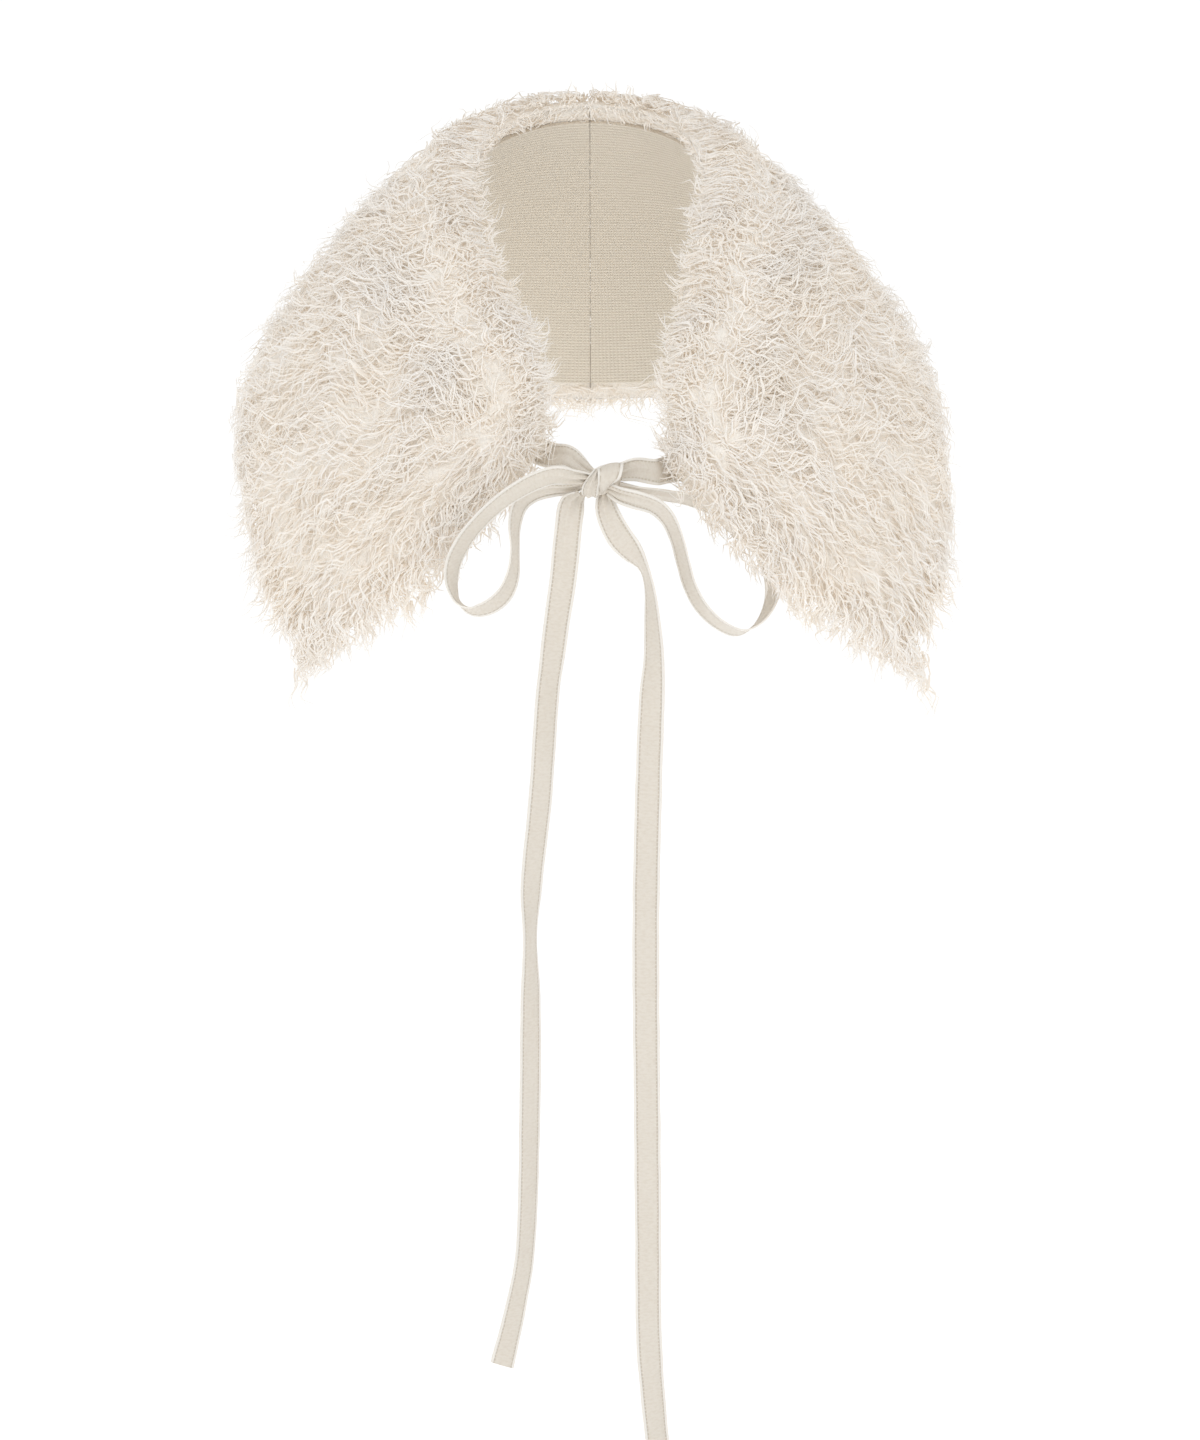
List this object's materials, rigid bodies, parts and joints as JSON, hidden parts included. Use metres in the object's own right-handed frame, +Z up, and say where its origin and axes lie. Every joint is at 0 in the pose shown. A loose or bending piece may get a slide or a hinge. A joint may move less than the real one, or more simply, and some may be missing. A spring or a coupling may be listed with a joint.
{
  "type": "fur collar wrap",
  "caption": "Wide crescent collar of long curly fur cloth that wraps the neck and shoulders, open in front and closed with flat ribbon ties in a bow with hanging ends.",
  "frame": {"origin": "on the axis of the neck that wears the collar, level with the pit of the neck", "axes": "+Z up, -Y the front of the collar where the bow is, +X to the right seen from the front"},
  "size_m": [0.3356, 0.2929, 0.6443],
  "materials": {
    "base_cloth": "knitted backing of the fur cloth, matte",
    "fur": "long curly ivory pile, soft and matte",
    "ribbon": "cream ribbed ribbon with a slight sheen"
  },
  "bodies": {
    "root": {"base_left": "base_cloth", "base_right": "base_cloth", "fur_left": "fur", "fur_right": "fur", "tie_left": "ribbon", "tie_right": "ribbon", "knot": "ribbon", "loop_left": "ribbon", "loop_right": "ribbon", "tail_left": "ribbon", "tail_right": "ribbon"}
  },
  "joints": []
}
